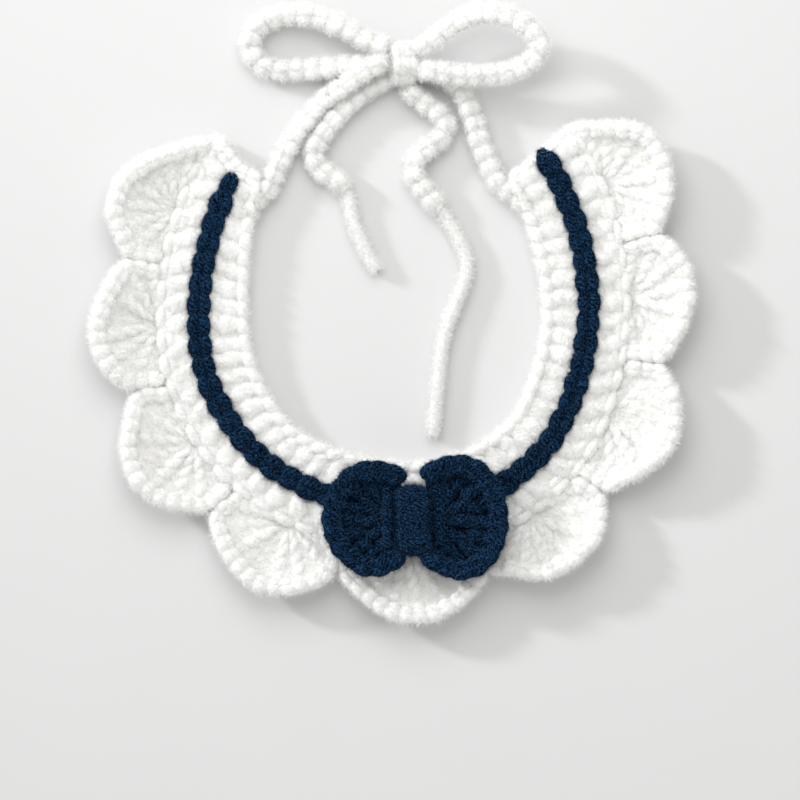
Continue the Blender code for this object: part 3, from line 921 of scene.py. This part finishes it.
def makeNavyChain():
    look = navyChain
    at = np.linspace(*look["ends"], 4 * band["stitches"] + 1)
    track = Track(raised(onBand(at, 0.0 * at), look["height"]))
    strands = chainStrands(
        track, band["stitches"], look["halfWidth"], look["leg"], firstSize=look["firstSize"]
    )
    strands.append(backStrand(track, look["backSteps"], **look["back"]))
    knitPiece("navyChain", strands, "navy_yarn", "navy_chain")


# Fans: the nine shells and the two lobes of the bow.

fans = {
    # the cupped profile: shares of the reach, then distances in from the rim, and the rise at each
    "near": (0.22, 0.42, 0.62),
    "inFromRim": (4.6, 3.5, 2.0),
    "rise": (0.0, 0.06, 0.20, 0.45, 0.68, 0.76, 0.92),
    "start": 1.0,
    "rimSteps": 61,
    "rootDrop": 0.1,  # how much lower than the root's height it starts
    "rimDive": 0.4,  # how far the posts dive at the rim, beside their dive at the hub
    "uneven": {"place": 0.004, "height": 0.25, "rim": 0.09},
    "postEnds": ((0, 0.15, 0.9, 1), (0.85, 1, 1, 0.8)),  # shares of a post, and its girth there
    "rimFill": 1.1,  # the strand inside the rim, beside the beads' own yarn
}


class Fan:
    # outline runs round from one root corner to the other, with the rim's height at each point
    def __init__(self, look, hub, outline, roots=(None, None)):
        self.look, self.hub, self.roots = look, hub, roots
        self.outline, self.heights = outline[:, :2], outline[:, 2]
        offset = self.outline - hub
        self.angles = np.unwrap(np.arctan2(offset[:, 1], offset[:, 0]))
        self.reaches = np.linalg.norm(offset, axis=1)

    def angle(self, share):
        return self.angles[0] + (self.angles[-1] - self.angles[0]) * share

    def reading(self, values, share):
        order = np.argsort(self.angles)
        return float(np.interp(self.angle(share), self.angles[order], values[order]))

    def reach(self, share):
        return self.reading(self.reaches, share)

    def surface(self, share, distance):
        # the height of the posts' tops
        reach, rim = self.reach(share), self.reading(self.heights, share)
        marks = [fans["start"]] + [near * reach for near in fans["near"]]
        marks = np.maximum.accumulate(marks + [reach - back for back in fans["inFromRim"]])
        rise = np.interp(distance, marks, fans["rise"])
        return self.look["root"] - fans["rootDrop"] + rise * (rim - self.look["root"])

    def flat(self, share, distance):
        root = {0.0: self.roots[0], 1.0: self.roots[1]}.get(float(share))
        if root is not None:
            return root(np.asarray(distance) / self.reach(share))
        direction = np.array((math.cos(self.angle(share)), math.sin(self.angle(share))))
        return self.hub + np.asarray(distance, float)[..., None] * direction

    def wall(self, name, slot, node):
        look = self.look
        rows = []
        for share in np.linspace(0, 1, look["columns"]):
            start = fans["start"]
            distance = start + (self.reach(share) - look["wallInset"] - start) * np.linspace(0, 1, 10)
            top = self.surface(share, distance) - look["wallDepth"]
            rows.append(raised(self.flat(share, distance), np.maximum(top, look["floor"] + look["wall"])))
        top = np.array(rows)
        return clothWall(name, top, top - (0, 0, look["wall"]), slot, node)

    def posts(self, count, first, last, girths):
        # first and last are where the posts begin and end: millimetres from the hub and in from
        # the rim, or shares of the reach where they are below 1
        look, uneven = self.look, fans["uneven"]
        at = np.linspace(0, 1, 7)
        ends = np.interp(at, *fans["postEnds"])
        angleStep = abs(self.angles[-1] - self.angles[0]) / count
        strands = []
        for number in range(count):
            share = (number + 0.5) / count + uneven["place"] * chance.standard_normal()
            reach = self.reach(share)
            begin = first if first >= 1 else first * reach
            end = reach - last if last >= 1 else last * reach
            distance = begin + (end - begin) * at
            halfWidth = np.clip(0.5 * angleStep * distance * look["crowd"], *girths)
            height = self.surface(share, distance) - halfWidth - look["sink"]
            height += uneven["height"] * chance.standard_normal()
            height[0] -= look["dive"]
            height[-1] -= fans["rimDive"] * look["dive"]
            track = Track(raised(self.flat(share, distance), height))
            phase = chance.uniform(0, math.pi)
            strands += postStrands(track, halfWidth * ends, look["pair"], look["turns"], phase)
        return strands

    def rim(self, firstPoint, lastPoint):
        look = self.look
        offset = self.outline - self.hub
        inner = self.hub + offset * (1 - look["beadBack"] / self.reaches)[:, None]
        line = raised(inner, self.heights - look["beadBelow"])[firstPoint:lastPoint]
        for _ in range(2):  # eases the corners where two shells meet
            line[1:-1] = 0.25 * line[:-2] + 0.5 * line[1:-1] + 0.25 * line[2:]
        turn = np.sign(self.angles[0] - self.angles[-1])
        track = Track(line, roll=turn * look["beadRoll"])
        count = round(track.length / look["beadPitch"])
        uneven = fans["uneven"]["rim"]
        strands = chainStrands(track, count, look["beadHalfWidth"], look["beadLeg"], uneven)
        return strands + [backStrand(track, 2 * count + 1, 0.0, fans["rimFill"] * look["beadLeg"])]

    def area(self):
        x, y = (self.outline - self.hub).T
        return abs(float(np.sum(x[:-1] * y[1:] - x[1:] * y[:-1]))) / 2

    def dress(self, name, node, posts, rimEnds, slot, more=(), **sheet):
        # the fan's cloth, its rings of posts with what more yarn lies there, and its rim
        wall = self.wall(name + "Wall", slot, node)
        strands = [strand for ring in posts for strand in self.posts(*ring)] + list(more)
        pieces = [knitPiece(name + "Posts", strands, slot)]
        pieces.append(knitPiece(name + "Rim", self.rim(*rimEnds), slot))


shells = {
    "look": {
        "columns": 25, "root": 4.8, "floor": 0.0, "wall": 1.1, "wallDepth": 0.95, "wallInset": 2.0,
        "pair": 0.3, "turns": 2.1, "dive": 0.9, "sink": 0.0, "crowd": 1.22,
        "beadBack": 2.1, "beadBelow": 1.9, "beadHalfWidth": 2.4, "beadLeg": 1.65, "beadPitch": 3.8,
        "beadRoll": 20.0,
    },
    "posts": [(8, 2.2, 2.6, (1.5, 2.9))],  # how many, from and to, and their half widths
    "cupped": 1.3,  # how much deeper a shell is laid flat
    "gap": 0.3,
    # where two shells part: along the chain, out from it, and how high the edge is
    "notches": [
        (-5.4, 11.8, 5.8), (-1.0, 21.6, 6.5), (-1.8, 20.8, 6.5), (-1.5, 21.2, 6.0), (-0.5, 20.4, 6.2),
        (2.6, 21.0, 6.2), (1.0, 20.8, 6.0), (0.8, 21.8, 6.2), (0.0, 21.4, 7.6), (2.4, 12.2, 5.8),
    ],
    # reach from the hub at 135, 112, 90, 67 and 45 degrees; the rim's height at both sides and the tip
    "sizes": [
        (17.5, 18.0, 19.0, 19.0, 18.5, 9.0, 10.0, 8.5),
        (19.0, 18.5, 19.5, 19.5, 20.0, 9.0, 10.0, 9.0),
        (20.5, 21.0, 21.0, 20.5, 19.5, 9.0, 9.5, 8.0),
        (21.0, 20.5, 21.0, 20.0, 19.5, 8.0, 8.5, 8.5),
        (18.5, 19.0, 20.0, 21.0, 22.0, 8.0, 8.5, 8.0),
        (17.0, 18.0, 18.5, 20.0, 21.5, 8.0, 9.0, 8.5),
        (19.0, 19.5, 20.5, 20.5, 21.0, 8.5, 9.5, 9.0),
        (18.5, 18.0, 18.4, 19.2, 20.0, 9.0, 10.0, 9.5),
        (19.0, 19.0, 19.5, 20.0, 19.0, 9.5, 10.0, 9.0),
    ],
}


def notchPoint(index, sideGap):
    along, out, height = shells["notches"][index]
    centre, ahead, outward = bandFrame(index * band["perShell"])
    return np.append(centre + ahead * (along + sideGap) + outward * out, height)


def shellFan(index):
    *reaches, firstRim, tipRim, lastRim = shells["sizes"][index]
    tops = (firstRim, (firstRim + tipRim) / 2, tipRim, (tipRim + lastRim) / 2, lastRim)
    halfGap = shells["gap"] / 2
    start, stop = index * band["perShell"], (index + 1) * band["perShell"]
    middle = (start + stop) / 2
    if index == 0:
        start -= band["leftEnd"]["outer"] / band["pitch"]
    if index == len(shells["sizes"]) - 1:
        stop += band["rightEnd"]["outer"] / band["pitch"]
    start, stop = start + halfGap / band["pitch"], stop - halfGap / band["pitch"]
    root = band["outerRow"] + shells["gap"]
    _, ahead, outward = bandFrame(middle)
    hub = onBand(middle, root)
    firstNotch, lastNotch = notchPoint(index, halfGap), notchPoint(index + 1, -halfGap)
    rim = [firstNotch]
    for place, (reach, top) in enumerate(zip(reaches, tops)):
        angle = math.radians(135 - 22.5 * place)
        rim.append(np.append(hub + reach * (math.cos(angle) * ahead + math.sin(angle) * outward), top))
    rim.append(lastNotch)
    side = np.linspace(0, 0.9, 8)[:, None]
    first, last = (np.append(onBand(corner, root), shells["look"]["root"]) for corner in (start, stop))
    outline = np.vstack([
        first + side * (firstNotch - first),
        spline(rim, np.linspace(0, len(rim) - 1, fans["rimSteps"])),
        last + side[::-1] * (lastNotch - last),
    ])

    def alongRoot(end):
        return lambda share: onBand(middle + (end - middle) * share, root)

    return Fan(shells["look"], hub, outline, (alongRoot(start), alongRoot(stop)))


def makeShells():
    for index in range(len(shells["sizes"])):
        fan = shellFan(index)
        across = np.ptp((fan.outline - fan.hub) @ bandFrame((index + 0.5) * band["perShell"])[1])
        deep = fan.area() / across * shells["cupped"]
        fan.dress(
            "shell%d" % (index + 1), "shell_%d" % (index + 1), shells["posts"], (1, -1), "white_yarn",
            flat=(deep * mm, float(across) * mm), held="laid", rests_on=["floor"],
        )


# The bow: two dished lobes and the wrap that gathers them.

bow = {
    "x": 6.0, "y": -40.8, "halfWidth": 4.1, "halfLength": 10.0, "base": 7.1, "top": 14.0,
    "gap": 0.3,
    "look": {
        "columns": 28, "root": 11.0, "floor": 7.1, "wall": 1.1, "wallDepth": 3.4, "wallInset": 1.6,
        "pair": 0.3, "turns": 1.6, "dive": 1.8, "sink": 1.5, "crowd": 1.0,
        "beadBack": 2.0, "beadBelow": 1.3, "beadHalfWidth": 2.7, "beadLeg": 1.4, "beadPitch": 4.4,
        "beadRoll": 20.0,
    },
    # reaches from straight up beside the wrap, every 30 degrees, to straight down
    "lobes": {
        "bow_left": (-1, (13.6, 18.2, 20.1, 20.2, 19.2, 16.9, 11.5)),
        "bow_right": (1, (14.6, 20.0, 21.7, 21.3, 21.0, 18.0, 11.0)),
    },
    "posts": [(7, 1.2, 0.56, (1.3, 2.6)), (11, 0.5, 2.6, (1.4, 2.5))],
    # yarn down each lobe's gathered side: back from the wrap, height, radius
    "besideWrap": ((0.2, 8.1, 1.15), (2.7, 9.2, 1.5)),
    "gatherInset": 1.6,
    "inGathers": 9.0,  # how much longer a lobe is laid flat
    "curl": 1.5,  # how far the lobes' corners reach over the wrap's sides
    "rimBeside": 11.8,  # the rim's height beside the wrap
    "rimOuter": 12.4,
}
wrap = {
    "columns": (-2.8, -0.95, 0.95, 2.8),  # its strands from left to right
    "yarn": 1.42,
    "uneven": 0.04,
    "slant": 0.8,
    "waist": 0.06,  # how much closer the strands lie on top
    "edge": 0.05,  # how much shorter the outer ones are
    "rounding": 0.5,
    "foot": 0.6,
    # the strands inside it: where they lie, their route up and over, and their yarn
    "inside": (-2.0, 0.0, 2.0),
    "insideRoute": ((-7.6, 1.6), (-7.0, 3.4), (-4.0, 3.9), (4.0, 3.9), (7.0, 3.4), (7.6, 1.6)),
    "insideYarn": 1.6,
}


def makeBow():
    for name, (side, reaches) in bow["lobes"].items():
        hub = np.array((bow["x"] + side * (bow["halfWidth"] + bow["gap"]), bow["y"]))
        rim = []
        for place, reach in enumerate(reaches):
            angle = math.radians(90 - 30 * place)
            point = hub + reach * np.array((side * math.cos(angle), math.sin(angle)))
            rim.append([*point, bow["rimOuter"]])
        for end in (0, -1):
            rim[end][0] -= side * bow["curl"]
            rim[end][2] = bow["rimBeside"]
        fan = Fan(bow["look"], hub, spline(rim, np.linspace(0, len(rim) - 1, fans["rimSteps"])))
        label = "bowLeft" if side < 0 else "bowRight"
        gathers = []
        for back, height, radius in bow["besideWrap"]:
            inset = back + bow["gatherInset"]
            down = np.linspace(reaches[0] - inset, inset - reaches[-1], 9)
            points = np.stack([0 * down + hub[0] + side * back, hub[1] + down, 0 * down + height], -1)
            gathers.append((points, np.full(len(down), radius)))
        fan.dress(
            label, name, bow["posts"], (0, len(fan.outline)), "navy_yarn", gathers,
            flat=(max(reaches) * mm, (reaches[0] + reaches[-1] + bow["inGathers"]) * mm), held="gathered",
            rests_on=["yokeWall"],
        )


def makeWrap():
    strands = []
    angle = np.linspace(-0.1, math.pi + 0.1, 41)
    across, up = np.cos(angle), np.sin(angle)
    along = np.sign(across) * np.abs(across) ** wrap["rounding"]
    over = np.sign(up) * np.abs(up) ** wrap["rounding"]
    foot = bow["base"] + wrap["foot"]
    for column in wrap["columns"]:
        radius = wrap["yarn"] * (1 + wrap["uneven"] * chance.standard_normal())
        edge = 1 - wrap["edge"] * abs(column) / bow["halfWidth"]
        line = np.stack([
            bow["x"] + column * (1 - wrap["waist"] * up) - wrap["slant"] * across,
            bow["y"] + (bow["halfLength"] * edge - radius) * along,
            foot + (bow["top"] - foot - radius) * edge * over,
        ], -1)
        strands.append((line, np.full(len(line), radius)))
    for column in wrap["inside"]:
        points = [(bow["x"] + column, bow["y"] + y, bow["base"] + z) for y, z in wrap["insideRoute"]]
        strands.append((points, np.full(len(points), wrap["insideYarn"])))
    knitPiece("bowWrap", strands, "navy_yarn", "bow_wrap")


fluff = {
    "widths": {"white_yarn": 0.10, "navy_yarn": 0.09},
    "lowest": 0.02,  # the lowest fibres lie on the floor
    "firstSeed": 11,
    # each tuft grows on every piece whose name starts so: fibres per square metre, and their length
    "tufts": {
        "tieFluff": ("white_yarn", ("tie", "left", "right"), 17.5e6, 1.4),
        "yokeFluff": ("white_yarn", ("yoke",), 9.3e6, 1.45),
        "shellFluffLeft": ("white_yarn", ("shell1", "shell2", "shell3", "shell4"), 10.0e6, 1.4),
        "shellFluffRight": (
            "white_yarn", ("shell5", "shell6", "shell7", "shell8", "shell9"), 10.0e6, 1.4,
        ),
        "navyFluff": ("navy_yarn", ("navy", "bow"), 10.0e6, 0.9),
    },
}


def skinOf(starts):
    # one mesh of all that a tuft grows on
    points, triangles, count = [], [], 0
    for piece in bpy.context.scene.objects:
        if piece.hide_render or not piece.name.startswith(starts):
            continue
        mesh = piece.data
        mesh.calc_loop_triangles()
        co = np.empty(3 * len(mesh.vertices), np.float32)
        corners = np.empty(3 * len(mesh.loop_triangles), np.int32)
        mesh.vertices.foreach_get("co", co)
        mesh.loop_triangles.foreach_get("vertices", corners)
        points.append(co.reshape(-1, 3))
        triangles.append(corners.reshape(-1, 3) + count)
        count += len(mesh.vertices)
    skin = bpy.data.meshes.new("skin")
    skin.from_pydata(np.concatenate(points), [], np.concatenate(triangles), shade_flat=False)
    return skin


def growFluff():
    seed = fluff["firstSeed"]
    for number, (name, (slot, starts, density, long)) in enumerate(fluff["tufts"].items()):
        mesh = runTree("skin", skinOf(starts), fluffTree, {
            "Density": density,
            "Seed": seed + number,
            "Length": long * mm,
            "Width": fluff["widths"][slot] * mm,
            "Yarn": materials[slot]["fluff"],
        })
        co = np.empty(3 * len(mesh.vertices), np.float32)
        mesh.vertices.foreach_get("co", co)
        co[2::3] = np.maximum(co[2::3], fluff["lowest"] * mm)
        mesh.vertices.foreach_set("co", co)
        addPiece(name, mesh)


makeCamera()
makeStudio()
print("camera, floor and light are set")
for colour, look in (("white", white), ("navy", navy)):
    materials[colour + "_yarn"] = {
        "yarn": makeYarn(colour + "Yarn", look),
        "shadedCloth": makeCloth(colour + "Cloth", look),
        "fluff": makeFluff(colour + "Fluff", look),
    }
yarnTree, fluffTree = makeYarnTree(), makeFluffTree()
makeTies(makeKnot())
print("ties and knot are made")
makeYoke()
makeNavyChain()
print("yoke and navy chain are made")
makeShells()
print("shells are made")
makeBow()
makeWrap()
print("bow and its wrap are made")
growFluff()
triangles = {o.name: sum(len(p.vertices) - 2 for p in o.data.polygons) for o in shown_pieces()}
print("triangles", sum(triangles.values()), "largest", max(triangles.values()))
